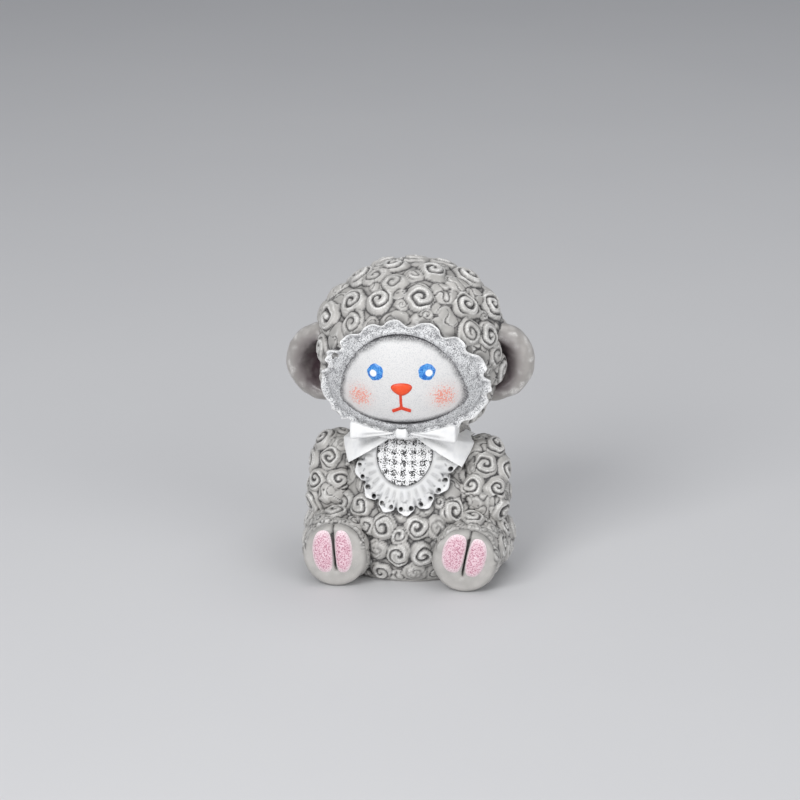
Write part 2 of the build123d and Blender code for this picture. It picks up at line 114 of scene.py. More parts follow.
def unit(vector):
    """Vector of length 1."""
    return np.asarray(vector, float) / np.linalg.norm(vector)


# Meshes
def joined(*names):
    """Pieces as one mesh in millimetres, with split vertices joined."""
    mesh = bmesh.new()
    for name in names:
        mesh.from_mesh(bpy.data.objects[name].data if name not in nodes else nodes[name].data)
    bmesh.ops.scale(mesh, vec=(1 / MM,) * 3, verts=mesh.verts)
    bmesh.ops.remove_doubles(mesh, verts=mesh.verts, dist=0.0005)
    return mesh


def tree(*names):
    """Search tree over the surface of pieces."""
    mesh = joined(*names)
    found = BVHTree.FromBMesh(mesh)
    mesh.free()
    return found


class Form:
    """Mesh while it is sculpted, in millimetres, with masks for its paint."""

    def __init__(self, piece):
        self.piece = piece
        self.masks = {}
        mesh = piece.data
        self.size = len(mesh.vertices)
        place = np.empty(self.size * 3)
        mesh.vertices.foreach_get("co", place)
        self.place = place.reshape(-1, 3)
        ends = np.empty(len(mesh.edges) * 2, int)
        mesh.edges.foreach_get("vertices", ends)
        self.start, self.end = ends.reshape(-1, 2).T
        self.links = np.bincount(self.start, minlength=self.size) + np.bincount(self.end, minlength=self.size)
        self.refresh()

    def refresh(self):
        """Puts the places in the mesh and reads the normals back."""
        mesh = self.piece.data
        mesh.vertices.foreach_set("co", self.place.ravel())
        mesh.update()
        normal = np.empty(self.size * 3)
        mesh.vertex_normals.foreach_get("vector", normal)
        self.normal = normal.reshape(-1, 3)

    def blur(self, values, rounds):
        """Values averaged with their neighbours."""
        for _ in range(rounds):
            total = np.bincount(self.start, values[self.end], self.size)
            total += np.bincount(self.end, values[self.start], self.size)
            values = (values + total) / (1 + self.links)
        return values

    def relax(self, rounds):
        """Rounds off the cells."""
        self.place = np.stack([self.blur(column, rounds) for column in self.place.T], axis=1)
        self.refresh()

    def push(self, height):
        """Moves the surface out along its normals."""
        self.place = self.place + self.normal * np.broadcast_to(height, self.size)[:, None]
        self.refresh()

    def lumps(self, size, seed=0.0):
        """Soft noise between -1 and 1 with lumps of a size."""
        shift = Vector((seed, 2 * seed, 3 * seed))
        return np.array([noise.noise(Vector(spot / size) + shift) for spot in self.place])

    def near(self, trees, reach):
        """1 on the surface of other pieces, falling to 0 at a reach."""
        away = np.full(self.size, reach)
        for other in trees:
            for number, spot in enumerate(self.place):
                hit = other.find_nearest(spot, reach)
                if hit[3] is not None:
                    away[number] = min(away[number], hit[3])
        return 1 - away / reach

    def mark(self, name, values):
        """Keeps a mask for the paint."""
        self.masks[name] = np.clip(np.broadcast_to(values, self.size), 0, 1)

    def done(self, material, slot, *replaced):
        """Finishes the piece in the scene's metres."""
        self.place = self.place * MM
        self.refresh()
        mesh = self.piece.data
        for name, values in self.masks.items():
            mask = mesh.attributes.new(name, "FLOAT", "POINT")
            mask.data.foreach_set("value", values.astype(np.float32))
        mesh.polygons.foreach_set("use_smooth", [True] * len(mesh.polygons))
        mesh.materials.clear()
        mesh.materials.append(material)
        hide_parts(*replaced)
        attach(self.piece, "root")


def shown(name, mesh):
    """New object in the scene."""
    piece = bpy.data.objects.new(name, mesh)
    bpy.context.scene.collection.objects.link(piece)
    return piece


def even(name, sources, cell, relax=2):
    """Form of even cells over CAD nodes."""
    mesh = bpy.data.meshes.new(name)
    source = joined(*sources)
    source.to_mesh(mesh)
    source.free()
    piece = shown(name, mesh)
    remesh = piece.modifiers.new("cells", "REMESH")
    remesh.mode = "VOXEL"
    remesh.voxel_size = cell
    result = piece.evaluated_get(bpy.context.evaluated_depsgraph_get())
    cells = bpy.data.meshes.new_from_object(result)
    piece.modifiers.clear()
    piece.data = cells
    form = Form(piece)
    form.relax(relax)
    return form


def grid(name, places, wrap_across):
    """Form over a grid of places that closes along its first index."""
    rows, columns = places.shape[:2]
    faces = []
    for row in range(rows):
        following = (row + 1) % rows
        for column in range(columns if wrap_across else columns - 1):
            beside = (column + 1) % columns
            corners = ((row, column), (row, beside), (following, beside), (following, column))
            faces.append([r * columns + c for r, c in corners])
    mesh = bpy.data.meshes.new(name)
    mesh.from_pydata(places.reshape(-1, 3).tolist(), [], faces)
    return Form(shown(name, mesh))


# Wool
SLANT = (0.3, -0.5, 0.81)


def across_axis(axis):
    """Two directions square to an axis."""
    side = unit(np.cross(axis, SLANT))
    return side, np.cross(axis, side)


def curl_spots(name, carrier):
    """Middle, outward axis and radius of each separate curl of a CAD node."""
    mesh = joined(name)
    mesh.verts.ensure_lookup_table()
    group = [-1] * len(mesh.verts)
    members = []
    for first in mesh.verts:
        if group[first.index] >= 0:
            continue
        group[first.index] = len(members)
        todo, bit = [first], []
        while todo:
            vertex = todo.pop()
            bit.append(vertex.co)
            for edge in vertex.link_edges:
                other = edge.other_vert(vertex)
                if group[other.index] < 0:
                    group[other.index] = len(members)
                    todo.append(other)
        members.append(np.array(bit))
    mesh.free()
    surface = tree(carrier)
    spots = []
    for bit in members:
        hit = surface.find_nearest(bit.mean(axis=0))
        axis = unit(hit[1])
        side, over = across_axis(axis)
        x, y = bit @ side, bit @ over
        middle = side * (x.min() + x.max()) / 2 + over * (y.min() + y.max()) / 2
        middle = middle + axis * (axis @ np.array(hit[0]))
        spots.append((middle, axis, max(np.ptp(x), np.ptp(y)) / 2))
    return spots


def filled(form, spots, keep, sizes, seed, grooves=(0.0, 0.4, 0.8)):
    """Curls with plainer lumps in the gaps between them."""
    spots = [(*spot, 1.0) for spot in spots]
    random = np.random.default_rng(seed)
    for radius in sizes:
        for number in random.permutation(np.flatnonzero(keep > 0.7))[:1500]:
            spot = form.place[number]
            if all(np.linalg.norm(spot - middle) > 0.85 * (radius + reach) for middle, _, reach, _ in spots):
                spots.append((spot, form.normal[number], radius, random.choice(grooves)))
    return spots


def curled(form, spots, seed, keep):
    """Raises buns of wool with a hooked groove and marks painted shade in the grooves and hollows and painted
    highlight on the edges.
    """
    random = np.random.default_rng(seed)
    closest = np.full(form.size, 2.0)
    relief = 0.12 * form.lumps(1.7, seed) + 0.06 * form.lumps(0.8, seed + 5)
    groove, lip_highlight, pits = np.zeros((3, form.size))
    warp = 0.3 * np.stack([form.lumps(1.3, seed + step) for step in (20, 30, 40)], axis=1)
    strand = form.lumps(1.5, seed + 50)
    for middle, axis, radius, grooved in spots:
        spin, rimmed = random.uniform(0, 1, 2)
        hand = random.choice((-1, 1))
        sway = random.uniform(0, 2 * math.pi, 2)
        pitch = random.uniform(0.52, 0.66) * radius
        pit = random.uniform(-0.5, 0.5, 2) * radius
        pitted = random.uniform(0, 1) < 0.3
        across = form.place - middle + warp
        close = np.einsum("ij,ij->i", across, across) < (1.6 * radius) ** 2
        here = np.flatnonzero(close & (form.normal @ axis > 0.1))
        side, over = across_axis(axis)
        x, y = across[here] @ side, across[here] @ over
        angle = np.arctan2(y, x)
        away = np.hypot(x, y)
        reach = away / (1.14 * radius)
        reach = reach * (1 + 0.08 * np.sin(2 * angle + sway[0]) + 0.06 * np.sin(3 * angle + sway[1]))
        ours = reach < closest[here]
        here, x, y, reach = here[ours], x[ours], y[ours], reach[ours]
        turn = away[ours] / pitch - hand * angle[ours] / (2 * math.pi) + spin
        off = (turn - np.round(turn)) * pitch / radius
        inside = grooved * smooth(0.02, 0.14, reach) * smooth(0.84, 0.7, reach)
        cut = inside * bell(off, 0.08 + 0.09 * smooth(0.6, 0.15, reach))
        squiggle = (1 - grooved) * smooth(0.95, 0.75, reach)
        cut = np.maximum(cut, 0.6 * squiggle * bell(strand[here], 0.06))
        tall = (0.27 + 0.22 * grooved) * radius
        bun = tall * (1 - np.minimum(reach, 1) ** 3) ** 0.75
        relief[here] = np.where(reach < 1, bun - 0.22 * radius * cut, relief[here])
        groove[here] = cut
        lip_highlight[here] = inside * bell(np.abs(off) - 0.19, 0.05) + 0.8 * rimmed * bell(reach - 0.94, 0.035)
        lip_highlight[here] += 0.7 * squiggle * bell(np.abs(strand[here]) - 0.16, 0.05)
        closest[here] = reach
        if pitted:
            pits[here] = np.maximum(pits[here], bell(np.hypot(x - pit[0], y - pit[1]), 0.12))
    relief = keep * (relief - 0.1 - 0.25 * pits)
    form.push(relief)
    fine = relief - form.blur(relief, 5)
    broad = relief - form.blur(relief, 40)
    hollow_shade = np.clip(-fine / 0.16 - 0.1, 0, 0.8) + np.clip(-broad / 0.5 - 0.1, 0, 0.5)
    broken = 0.45 + 0.55 * smooth(-0.3, 0.3, form.lumps(1.3, seed + 9))
    # Painted shade: darker in the grooves, in the rings between curls, in the pits and in the hollows of the
    # relief.
    form.mark("shade_and_dark_paint", keep * (groove + 0.45 * bell(closest - 1.04, 0.07) + pits) + hollow_shade)
    # Painted highlight: paler on the lips beside the grooves, on some curls' rims and on raised ridges,
    # broken up by noise.
    form.mark("edge", broken * (keep * lip_highlight * (1 - groove) + np.clip((fine - 0.05) / 0.08, 0, 0.7)))


# Paint
def linear(*colour):
    """Colour of 0 to 255 as the renderer's own."""
    shares = [value / 255 for value in colour]
    return [share / 12.92 if share < 0.04 else ((share + 0.055) / 1.055) ** 2.4 for share in shares] + [1]


class Paint:
    """Procedural material built up from layers of colour."""

    def __init__(self, name, colour, roughness=0.5, shine=0.5):
        self.material = bpy.data.materials.new(name)
        self.material.use_nodes = True
        self.nodes = self.material.node_tree.nodes
        self.shader = self.nodes["Principled BSDF"]
        self.shader.inputs["Roughness"].default_value = roughness
        self.shader.inputs["Specular IOR Level"].default_value = shine
        self.where = self.nodes.new("ShaderNodeTexCoord").outputs["Object"]
        self.colour = linear(*colour)

    def plug(self, socket, value):
        """Links a socket to another or sets it."""
        if isinstance(value, bpy.types.NodeSocket):
            self.material.node_tree.links.new(value, socket)
        else:
            socket.default_value = value

    def noise(self, size, detail=2.0, rough=0.5):
        """Noise between 0 and 1 with grains of a size in millimetres."""
        node = self.nodes.new("ShaderNodeTexNoise")
        node.inputs["Scale"].default_value = 1 / (size * MM)
        node.inputs["Detail"].default_value = detail
        node.inputs["Roughness"].default_value = rough
        self.plug(node.inputs["Vector"], self.where)
        return node.outputs["Fac"]

    def mask(self, name):
        """Mask kept on the mesh."""
        node = self.nodes.new("ShaderNodeAttribute")
        node.attribute_name = name
        return node.outputs["Fac"]

    def span(self, source, low, high, first=0.0, last=1.0):
        """Part of a value's range stretched to another."""
        node = self.nodes.new("ShaderNodeMapRange")
        for socket, value in zip(node.inputs, (source, low, high, first, last)):
            self.plug(socket, value)
        return node.outputs["Result"]

    def sum(self, operation, first, second):
        """Two values taken together."""
        node = self.nodes.new("ShaderNodeMath")
        node.operation = operation
        self.plug(node.inputs[0], first)
        self.plug(node.inputs[1], second)
        return node.outputs[0]

    def speckle(self, grains, name):
        """Specks that lie closer together the stronger a mask is."""
        return self.span(self.sum("ADD", grains, self.span(self.mask(name), 0, 1, -0.32, 0.3)), 0.5, 0.62)

    def brushed(self, name, grains, *span):
        """Mask broken up by grains."""
        return self.sum("MULTIPLY", self.mask(name), self.span(grains, *span))

    def layer(self, share, *colour):
        """Lays a colour over the ones below."""
        node = self.nodes.new("ShaderNodeMix")
        node.data_type = "RGBA"
        self.plug(node.inputs["Factor"], share)
        self.plug(node.inputs[6], self.colour)
        self.plug(node.inputs[7], linear(*colour))
        self.colour = node.outputs[2]

    def grain(self, source, depth, strength=0.5):
        """Fine relief of a depth in millimetres."""
        node = self.nodes.new("ShaderNodeBump")
        node.inputs["Strength"].default_value = strength
        node.inputs["Distance"].default_value = depth * MM
        self.plug(node.inputs["Height"], source)
        self.plug(self.shader.inputs["Normal"], node.outputs["Normal"])

    def finish(self):
        """The material, with its colour plugged in."""
        self.plug(self.shader.inputs["Base Color"], self.colour)
        return self.material


def wool_paint():
    """Satin grey, darker in the hollows and seams as painted shade and paler on ridges as painted highlight
    over the figure's own dry-brushing.
    """
    paint = Paint("wool_paint", (172, 170, 166), roughness=0.42)
    soft, fine = paint.noise(2.2), paint.noise(0.22, 3.0, 0.6)
    paint.layer(paint.span(soft, 0.35, 0.7), 192, 189, 185)
    paint.layer(paint.span(fine, 0.58, 0.72, 0, 0.25), 212, 210, 206)
    # Painted shade in the grooves, hollows and seams.
    paint.layer(paint.brushed("shade_and_dark_paint", fine, 0.3, 0.6, 0.75, 1.0), 38, 36, 38)
    # Painted highlight on ridges and lips.
    paint.layer(paint.brushed("edge", fine, 0.32, 0.58, 0.2, 1.0), 240, 239, 236)
    paint.plug(paint.shader.inputs["Roughness"], paint.span(soft, 0.3, 0.7, 0.34, 0.52))
    paint.grain(fine, 0.02)
    return paint.finish()


def ear_paint():
    """Wool grey that turns purple brown inside the ear, deepened there by painted shade, with painted
    highlight on the rim.
    """
    paint = Paint("ear_paint", (170, 166, 162), roughness=0.3)
    soft, fine = paint.noise(1.6), paint.noise(0.25, 3.0, 0.6)
    paint.layer(paint.span(soft, 0.4, 0.65), 188, 185, 181)
    # Painted shade at the seam with the hood.
    paint.layer(paint.brushed("shade_and_dark_paint", fine, 0.3, 0.6, 0.7, 1.0), 66, 62, 64)
    # Purple brown lining, deepened towards the hood as painted shade.
    paint.layer(paint.brushed("inside", soft, 0.3, 0.6, 0.7, 1.0), 72, 56, 62)
    # Painted highlight on the rim and in broken patches elsewhere.
    paint.layer(paint.brushed("edge", fine, 0.35, 0.6, 0.3, 0.9), 226, 224, 221)
    paint.grain(fine, 0.02)
    return paint.finish()


def face_paint():
    """Stippled white with painted shade in grey round its border and speckled blush."""
    paint = Paint("face_paint", (226, 225, 224), roughness=0.5)
    fine, speck = paint.noise(0.16, 2.0, 0.6), paint.noise(0.2, 1.0, 0.4)
    paint.layer(paint.span(fine, 0.48, 0.68, 0, 0.5), 182, 185, 189)
    # Painted shade round the border, where the face sits in the hood under the ruffle.
    paint.layer(paint.brushed("shade_and_dark_paint", speck, 0.35, 0.6, 0.5, 1.0), 78, 78, 82)
    paint.layer(paint.sum("MULTIPLY", paint.mask("blush"), 0.3), 244, 190, 174)
    paint.layer(paint.sum("MULTIPLY", paint.speckle(speck, "blush"), 0.75), 240, 124, 96)
    paint.grain(fine, 0.04)
    return paint.finish()


def ruffle_paint():
    """Silver white, stippled with painted shade towards the face and painted highlight on the frill's edge.
    """
    paint = Paint("ruffle_paint", (196, 197, 198), roughness=0.4)
    fine, soft = paint.noise(0.19, 2.0, 0.5), paint.noise(0.9)
    paint.layer(paint.span(soft, 0.4, 0.65), 218, 219, 220)
    paint.layer(paint.span(soft, 0.48, 0.34, 0, 0.7), 150, 150, 153)
    paint.layer(paint.span(fine, 0.53, 0.62, 0, 0.9), 248, 248, 248)
    paint.layer(paint.span(fine, 0.47, 0.37, 0, 0.8), 100, 100, 104)
    # Painted shade as denser specks where the mask is set.
    paint.layer(paint.speckle(fine, "shade_and_dark_paint"), 66, 65, 68)
    # Painted highlight along the frill's crest.
    paint.layer(paint.brushed("edge", fine, 0.3, 0.5, 0.5, 1.0), 246, 246, 245)
    paint.grain(fine, 0.05)
    return paint.finish()


def white_paint(name, *colour):
    """Clean white with painted shade as thin grey lines in its folds."""
    paint = Paint(name, colour, roughness=0.45)
    fine, soft = paint.noise(0.2, 2.0, 0.6), paint.noise(1.2)
    paint.layer(paint.span(soft, 0.45, 0.7, 0, 0.5), 226, 227, 229)
    # Painted shade in creases, folds, seams and eyelets, with random darker specks on the lace.
    paint.layer(paint.brushed("shade_and_dark_paint", fine, 0.3, 0.6, 0.6, 1.0), 66, 66, 70)
    paint.layer(paint.mask("edge"), 248, 248, 248)
    paint.grain(fine, 0.02)
    return paint.finish()


def gingham_paint():
    """Black and white check laid on in specks."""
    paint = Paint("gingham_paint", (240, 240, 240), roughness=0.55)
    speck = paint.noise(0.17, 1.0, 0.4)
    dense = paint.sum("ADD", speck, paint.span(paint.mask("check"), 0, 1, -0.13, 0.09))
    paint.layer(paint.span(dense, 0.5, 0.58), 30, 30, 32)
    # Painted shade round the panel's rim, where it meets the lace.
    paint.layer(paint.mask("shade_and_dark_paint"), 60, 60, 64)
    paint.grain(speck, 0.04)
    return paint.finish()


def eye_paint():
    """Mottled blue with a white glint."""
    paint = Paint("eye_paint", (30, 118, 208), roughness=0.3)
    speck = paint.noise(0.22, 2.0, 0.5)
    paint.layer(paint.span(speck, 0.42, 0.7), 104, 176, 232)
    paint.layer(paint.span(speck, 0.5, 0.3, 0, 0.7), 16, 78, 170)
    paint.layer(paint.mask("glint"), 250, 252, 252)
    return paint.finish()


def red_paint(name, *colour):
    """Orange red, a little darker at its border."""
    paint = Paint(name, colour, roughness=0.38)
    speck = paint.noise(0.3, 2.0, 0.5)
    paint.layer(paint.span(speck, 0.4, 0.75, 0, 0.5), 248, 110, 62)
    paint.layer(paint.mask("shade_and_dark_paint"), 190, 38, 22)
    return paint.finish()


def pad_paint():
    """Pale pink with a fine grain and a whiter rim."""
    paint = Paint("pad_paint", (222, 176, 190), roughness=0.5)
    speck = paint.noise(0.17, 1.5, 0.5)
    paint.layer(paint.span(speck, 0.46, 0.64), 240, 216, 223)
    paint.layer(paint.span(speck, 0.48, 0.36, 0, 1.0), 180, 118, 138)
    paint.layer(paint.sum("MULTIPLY", paint.mask("edge"), 0.6), 248, 236, 238)
    paint.grain(speck, 0.05)
    return paint.finish()


def floor_paint():
    """Pale grey of the studio floor."""
    paint = Paint("floor_paint", (212, 212, 213), roughness=0.6, shine=0.2)
    paint.layer(paint.span(paint.noise(60.0), 0.3, 0.7, 0, 0.3), 206, 206, 208)
    return paint.finish()


# Head
def in_head(places):
    """Places in the head's own frame."""
    return (places - HEAD_CENTRE) @ HEAD_TURN


def face_gap(local):
    """Way in from the face's outline and the turn round the face's middle."""
    rise = local[:, 2] + FACE_DROP
    tall = np.where(rise > 0, FACE_RISE, FACE_FALL)
    turn = np.arctan2(rise / tall, local[:, 0] / FACE_HALF)
    reach = np.hypot(local[:, 0] / FACE_HALF, rise / tall)
    return (1 - reach) * np.hypot(FACE_HALF * np.cos(turn), tall * np.sin(turn)), turn


def lap(turn):
    """How far along the head the ruffle's slope laps over the face, most at the sides."""
    return 0.3 + 1.6 * np.cos(turn) ** 2


def hood_look(paint):
    """Hood with its curls."""
    form = even("hood_wool", ["hood"], cell=0.2)
    outside = np.linalg.norm(form.place - HEAD_CENTRE, axis=1)
    keep = smooth(HOOD_RADIUS - 0.35, HOOD_RADIUS - 0.12, outside)
    keep = keep * smooth(NECK_HEIGHT, NECK_HEIGHT + 0.8, form.place[:, 2])
    rays = (form.place - HEAD_CENTRE) / outside[:, None]
    for across, rise, height in HOOD_BULGES:
        spot = unit(across * SEEN_RIGHT + rise * SEEN_UP + 2 * SEEN_FROM)
        form.push(height * keep * bell(1 - rays @ spot, 0.035))
    spots = filled(form, curl_spots("hood_curls", "hood"), keep, (1.8, 1.3, 0.9), 3, (0.0, 0.0, 0.6))
    curled(form, spots, 11, keep)
    seams = form.near([tree("ruffle_silver"), tree("left_ear_grey"), tree("right_ear_grey")], 1.2)
    # Painted shade along the seams with the ruffle and the ears.
    form.mark("shade_and_dark_paint", form.masks["shade_and_dark_paint"] + 0.7 * smooth(0.1, 0.9, seams))
    form.done(paint, "grey_wool", "hood", "hood_curls")


def face_look(paint):
    """Face with painted shade in grey round its border and blush on its cheeks."""
    form = even("face_white", ["face"], cell=0.2, relax=3)
    local = in_head(form.place)
    form.push(0.04 * form.lumps(1.5))
    gap, turn = face_gap(local)
    # Painted shade: grey round the face's border, widest where the ruffle laps over.
    form.mark("shade_and_dark_paint", 0.95 * smooth(0.95, 0.1, gap - 0.35 * lap(turn) + 0.25 * form.lumps(1.6)))
    blush = np.zeros(form.size)
    for side in (-1, 1):
        away = np.hypot(local[:, 0] - CHEEK_ACROSS * side, local[:, 2] + FACE_DROP - CHEEK_RISE)
        blush = np.maximum(blush, 0.68 * smooth(CHEEK_RADIUS, 0.2, away))
    form.mark("blush", blush)
    form.done(paint, "pearl_white", "face")


def ruffle_path():
    """Turn, across and up of even steps along the face's outline, and how far along each lies."""
    turns = np.linspace(0, 2 * math.pi, 4001)
    tall = np.where(np.sin(turns) > 0, FACE_RISE, FACE_FALL) + FACE_GROOVE
    x, z = (FACE_HALF + FACE_GROOVE) * np.cos(turns), tall * np.sin(turns) - FACE_DROP
    run = np.concatenate(([0], np.cumsum(np.hypot(np.diff(x), np.diff(z)))))
    along = np.linspace(0, run[-1], RUFFLE_STEPS, endpoint=False)
    return [np.interp(along, run, values) for values in (turns, x, z)] + [along / run[-1]]


def ruffle_wave(turn, along):
    """Waves of the frill, larger at the upper corners of the face."""
    wave = np.sin(2 * math.pi * RUFFLE_WAVES * along + 0.9 * np.sin(3 * turn) + 0.5 * np.sin(7 * turn))
    corners = 0.5 * bell(turn - 0.8, 0.45) + 0.5 * bell(turn - 2.5, 0.35)
    return wave * (0.7 + 0.3 * np.sin(5 * turn + 1) + corners)


def ruffle_profile():
    """Steps across the ruffle with their way out from the face and their height."""
    slope = [(-1.0, 0.25), (-0.8, 0.6), (-0.45, 0.68), (-0.1, 0.62), (0.3, 0.52)]
    frill = [(0.7, 0.5), (0.95, 0.8), (1.15, 1.15), (1.4, 1.25)]
    edge = [(1.6, 1.05), (1.72, 0.5), (1.7, 0.0), (1.5, -0.4)]
    profile = np.array(slope + frill + edge)
    steps = np.linspace(0, len(profile) - 1, 37)
    outward, height = [np.interp(steps, np.arange(len(profile)), column) for column in profile.T]
    for values in (outward, height):
        for _ in range(2):
            values[1:-1] = (values[:-2] + 2 * values[1:-1] + values[2:]) / 4
    return steps, outward, height


def ruffle_look(paint):
    """Wavy frill round the face on a slope that runs down to it."""
    turn, x, z, along = ruffle_path()
    wave = ruffle_wave(turn, along)
    steps, reach, height = ruffle_profile()
    on_frill = smooth(3.4, 5.2, steps)
    places = np.zeros((RUFFLE_STEPS, len(steps), 3))
    for number in range(RUFFLE_STEPS):
        before, after = number - 1, (number + 1) % RUFFLE_STEPS
        spot = np.array((x[number], -math.sqrt(HOOD_RADIUS**2 - x[number] ** 2 - z[number] ** 2), z[number]))
        outward = unit(spot)
        ahead = np.array((x[after] - x[before], 0, z[after] - z[before]))
        away = unit(np.cross(unit(ahead - outward * (outward @ ahead)), outward))
        if away @ np.array((x[number], 0, z[number] + FACE_DROP)) < 0:
            away = -away
        narrow = 1 - 0.5 * smooth(0.3, 0.9, math.sin(turn[number]))
        shift = reach * np.where(reach < 0, lap(turn[number]) + FACE_GROOVE, narrow)
        shift = shift + on_frill * 0.5 * wave[number]
        lift = height + on_frill * np.clip(height, 0, 1) * 0.25 * math.cos(math.pi * wave[number])
        bend = shift[:, None] / HOOD_RADIUS
        ring = np.cos(bend) * outward + np.sin(bend) * away
        places[number] = HEAD_CENTRE + (ring * (HOOD_RADIUS + lift)[:, None]) @ HEAD_TURN.T
    form = grid("ruffle_silver", places, True)
    across = np.tile(steps, RUFFLE_STEPS)
    waves = np.repeat(wave, len(steps))
    # Painted shade: darker near the face, down the slope, at the outer end under the hood and at the foot of
    # the frill.
    shade_and_dark_paint = 0.5 * smooth(0.9, 0.2, across) + 0.45 * smooth(4.8, 0.8, across) + 0.7 * smooth(10.0, 11.5, across)
    shade_and_dark_paint = shade_and_dark_paint + (0.5 - 0.15 * waves) * bell(across - 4.6, 1.0)
    form.mark("shade_and_dark_paint", shade_and_dark_paint)
    # Painted highlight along the frill's crest.
    form.mark("edge", smooth(6.2, 7.2, across) * smooth(10.4, 9.0, across) * (0.85 + 0.15 * waves))
    form.done(paint, "ruffle_white", "hood_ruffle")


def ear_look(name, side, paint):
    """Ear as a shallow dish with a soft rim, a purple brown inside deepened by painted shade, and painted
    highlight on the rim.
    """
    form = even(f"{name}_grey", [name], cell=0.2, relax=6)
    local = in_head(form.place) - (side * EAR_ACROSS, 0, -EAR_DROP)
    front = np.array((side * math.sin(EAR_TURN), -math.cos(EAR_TURN), 0))
    facing = form.normal @ HEAD_TURN @ front
    away = np.linalg.norm(local - np.outer(local @ front, front), axis=1)
    inside = smooth(4.4, 2.6, away) * smooth(-0.4, 0.2, facing)
    sharp = form.place
    form.relax(40)
    form.place = sharp + (form.place - sharp) * inside[:, None]
    form.refresh()
    form.push(0.16 * form.lumps(2.2, side) + 0.06 * form.lumps(0.9))
    seam = form.near([tree("hood")], 0.9)
    # Purple brown lining inside the ear, deepened towards the hood as painted shade.
    lining_and_shade = smooth(5.4, 2.2, away) * smooth(-0.4, 0.2, facing)
    lining_and_shade = lining_and_shade * smooth(EAR_LINING_AND_SHADE_REACH[side], 1.0, local[:, 0] * side)
    form.mark("inside", lining_and_shade**0.6)
    # Painted shade at the seam with the hood.
    form.mark("shade_and_dark_paint", 0.8 * smooth(0.3, 1.0, seam))
    # Painted highlight, strongest on the front of the rim, in broken patches elsewhere, none inside.
    rim = smooth(3.4, 4.6, away) * smooth(-0.2, 0.5, facing)
    form.mark("edge", (0.3 + rim) * smooth(-0.1, 0.6, form.lumps(1.1, 4 + side)) * (1 - lining_and_shade))
    form.place = form.place + EAR_SHIFT[side]
    form.done(paint, "ear_grey", name)


def film(name, middle, edge, thickness, rings):
    """Domed film of paint on the face, with an edge given across and up from its middle."""
    places = np.zeros((len(edge), rings, 3))
    for step, end in enumerate(edge):
        for ring in range(rings):
            share = ring / (rings - 1)
            x, z = np.array(middle) + share * np.array(end)
            spot = unit((x, -math.sqrt(FACE_RADIUS**2 - x * x - z * z), z))
            lift = FACE_RADIUS - 0.08 + thickness * math.sqrt(1 - 0.98 * share**2)
            places[step, ring] = HEAD_CENTRE + HEAD_TURN @ (spot * lift)
    return grid(name, places, False)


def eye_look(name, side, paint):
    """Eye as a domed film of paint with a ragged edge and a glint."""
    edge, rings = [], 14
    for angle in np.linspace(0, 2 * math.pi, 48, endpoint=False):
        ragged = 1 + 0.03 * math.sin(5 * angle + side) + 0.02 * math.sin(9 * angle)
        reach = EYE_RADIUS * ragged
        edge.append((reach * math.cos(angle), 1.04 * reach * math.sin(angle)))
    form = film(f"{name}_paint", (FEATURES_SHIFT + EYE_ACROSS * side, EYE_RISE), edge, 0.2, rings)
    inside = np.linspace(0, 1, rings)[None, :, None] * np.array(edge)[:, None, :]
    away = np.hypot(inside[..., 0] - GLINT_ACROSS * side, inside[..., 1] + GLINT_DROP)
    form.mark("glint", smooth(GLINT_RADIUS, GLINT_RADIUS - 0.1, away).ravel())
    form.done(paint, "eye_blue", name)


def nose_look(paint):
    """Nose, wide at its top and round at its point."""
    edge, rings = [], 12
    for angle in np.linspace(0, 2 * math.pi, 60, endpoint=False):
        across = NOSE_REACH * math.cos(angle) * (0.74 + 0.26 * math.sin(angle))
        edge.append((across, NOSE_HALF_HEIGHT * math.sin(angle)))
    form = film("nose_paint", (FEATURES_SHIFT, NOSE_RISE), edge, 0.4, rings)
    rim = np.tile(np.linspace(0, 1, rings), len(edge))
    form.mark("shade_and_dark_paint", 0.7 * smooth(0.8, 1.0, rim))
    form.done(paint, "nose_orange", "nose")


def mouth_look(paint):
    """Mouth as strokes of paint."""
    form = even("mouth_paint", ["mouth"], cell=0.04, relax=4)
    low = form.place[:, 2].min()
    form.place[:, 2] = low + MOUTH_STRETCH * (form.place[:, 2] - low)
    form.mark("shade_and_dark_paint", 0.2)
    form.done(paint, "nose_orange", "mouth")


# Body
def torso_look(paint):
    """Torso with its curls."""
    form = even("torso_wool", ["torso"], cell=0.2)
    keep = smooth(0.1, 0.8, form.place[:, 2]) * smooth(NECK_HEIGHT, NECK_HEIGHT - 0.6, form.place[:, 2])
    spots = filled(form, curl_spots("torso_curls", "torso"), keep, (1.5, 1.2, 0.9), 5)
    curled(form, spots, 13, keep)
    names = ("left_leg", "right_leg", "left_arm", "right_arm", "bib_lace", "bow_left_tail", "bow_right_tail")
    seams = form.near([tree(name) for name in names], 1.0)
    # Painted shade where the legs, arms, lace and bow's tails meet the torso.
    form.mark("shade_and_dark_paint", form.masks["shade_and_dark_paint"] + 0.85 * smooth(0.2, 0.9, seams))
    form.done(paint, "grey_wool", "torso", "torso_curls")


def arm_look(name, seed, paint):
    """Arm with its curls."""
    form = even(f"{name}_wool", [name], cell=0.16)
    keep = np.ones(form.size)
    spots = filled(form, curl_spots(f"{name}_curls", name), keep, (1.3, 1.0, 0.8), seed)
    curled(form, spots, seed, keep)
    seams = form.near([tree("torso"), tree("bow_left_loop"), tree("bow_right_loop")], 0.8)
    # Painted shade where the arm meets the torso and the bow's loops.
    form.mark("shade_and_dark_paint", form.masks["shade_and_dark_paint"] + 0.8 * smooth(0.3, 0.95, seams))
    form.done(paint, "grey_wool", name, f"{name}_curls")


